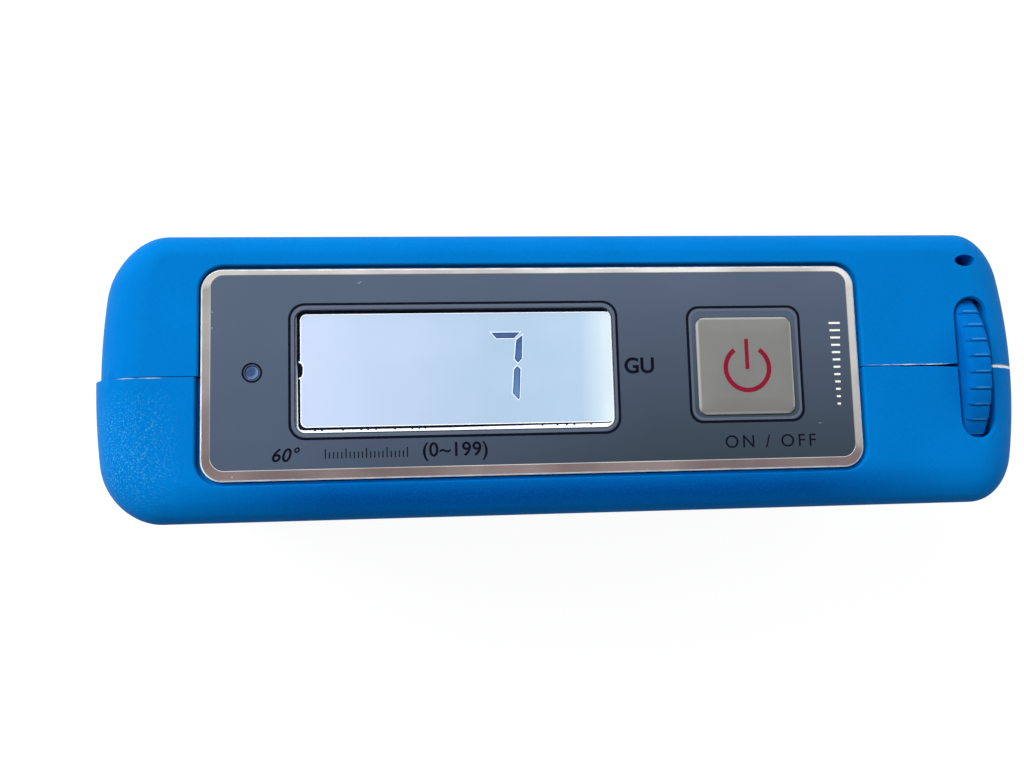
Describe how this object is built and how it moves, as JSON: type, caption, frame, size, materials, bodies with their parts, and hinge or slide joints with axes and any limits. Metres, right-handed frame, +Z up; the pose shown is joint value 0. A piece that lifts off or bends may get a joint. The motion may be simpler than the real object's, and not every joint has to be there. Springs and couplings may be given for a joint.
{
  "type": "gloss meter",
  "caption": "Pocket surface-gloss meter: blue split housing, top display and key, thumbwheel at one end and a measuring foot with an aperture underneath.",
  "frame": {"origin": "middle of the measuring foot's underside, below the middle of the housing", "axes": "+Z up out of the display, +X along the length towards the thumbwheel, +Y towards the rear half with the battery door"},
  "size_m": [0.1136, 0.0338, 0.0665],
  "materials": {
    "housing_blue": "fine-grained moulded blue",
    "wheel_blue": "moulded blue, ribbed",
    "faceplate_slate": "satin slate-blue anodised plate with a bright cut rim",
    "key_silver": "satin silver",
    "window_clear": "clear window",
    "lcd_glass": "lit display glass",
    "backlight_white": "milky light guide",
    "black_plastic": "black moulding",
    "black_anodised": "black anodised",
    "board_green": "solder-masked board",
    "screw_steel": "plated steel",
    "optic_glass": "polished",
    "cell_sleeve": "plain printed sleeve",
    "contact_nickel": "nickel plated",
    "pot_case": "moulded case",
    "indicator_smoke": "smoked light pipe"
  },
  "bodies": {
    "meter": {"shell_front": "housing_blue", "shell_rear": "housing_blue", "faceplate": "faceplate_slate", "display_window": "window_clear", "lcd_frame": "black_plastic", "lcd_glass": "lcd_glass", "backlight": "backlight_white", "indicator_pipe": "indicator_smoke", "indicator_lamp": "backlight_white", "tact_switch": "black_plastic", "main_board": "board_green", "processor": "black_plastic", "board_screw_1": "screw_steel", "board_screw_2": "screw_steel", "pot_body": "pot_case", "pot_board": "board_green", "optics_block": "black_anodised", "source_lens": "optic_glass", "source_slit": "black_plastic", "source_lamp": "optic_glass", "source_board": "board_green", "source_screw_1": "screw_steel", "source_screw_2": "screw_steel", "receiver_lens": "optic_glass", "receiver_slit": "black_plastic", "receiver_sensor": "contact_nickel", "receiver_board": "board_green", "receiver_screw_1": "screw_steel", "receiver_screw_2": "screw_steel", "foot_screw_left_front": "screw_steel", "foot_screw_left_rear": "screw_steel", "foot_screw_right_front": "screw_steel", "foot_screw_right_rear": "screw_steel", "battery": "cell_sleeve", "battery_cradle": "black_plastic", "battery_spring": "contact_nickel", "battery_plate": "contact_nickel", "case_screw_1": "screw_steel", "case_screw_2": "screw_steel", "case_screw_3": "screw_steel", "case_screw_4": "screw_steel"},
    "key": {"power_button": "key_silver", "switch_plunger": "black_plastic"},
    "wheel": {"calibration_wheel": "wheel_blue", "pot_shaft": "black_anodised"},
    "door": {"battery_door": "housing_blue"}
  },
  "joints": [
    {"name": "power_button_press", "type": "slide", "parent": "meter", "child": "key", "axis": [0, 0, -1], "range_m": [0, 0.0006], "stiffness_N_per_m": 1500, "springref_m": -0.0004},
    {"name": "calibration_wheel_turn", "type": "hinge", "parent": "meter", "child": "wheel", "pos_m": [0.0494, -0.0004, 0.053], "axis": [1, 0, 0], "range_deg": [-140, 140]},
    {"name": "battery_door_swing", "type": "hinge", "parent": "meter", "child": "door", "pos_m": [-0.0345, 0.0167, 0.0415], "axis": [0, 0, 1], "range_deg": [0, 75]}
  ]
}
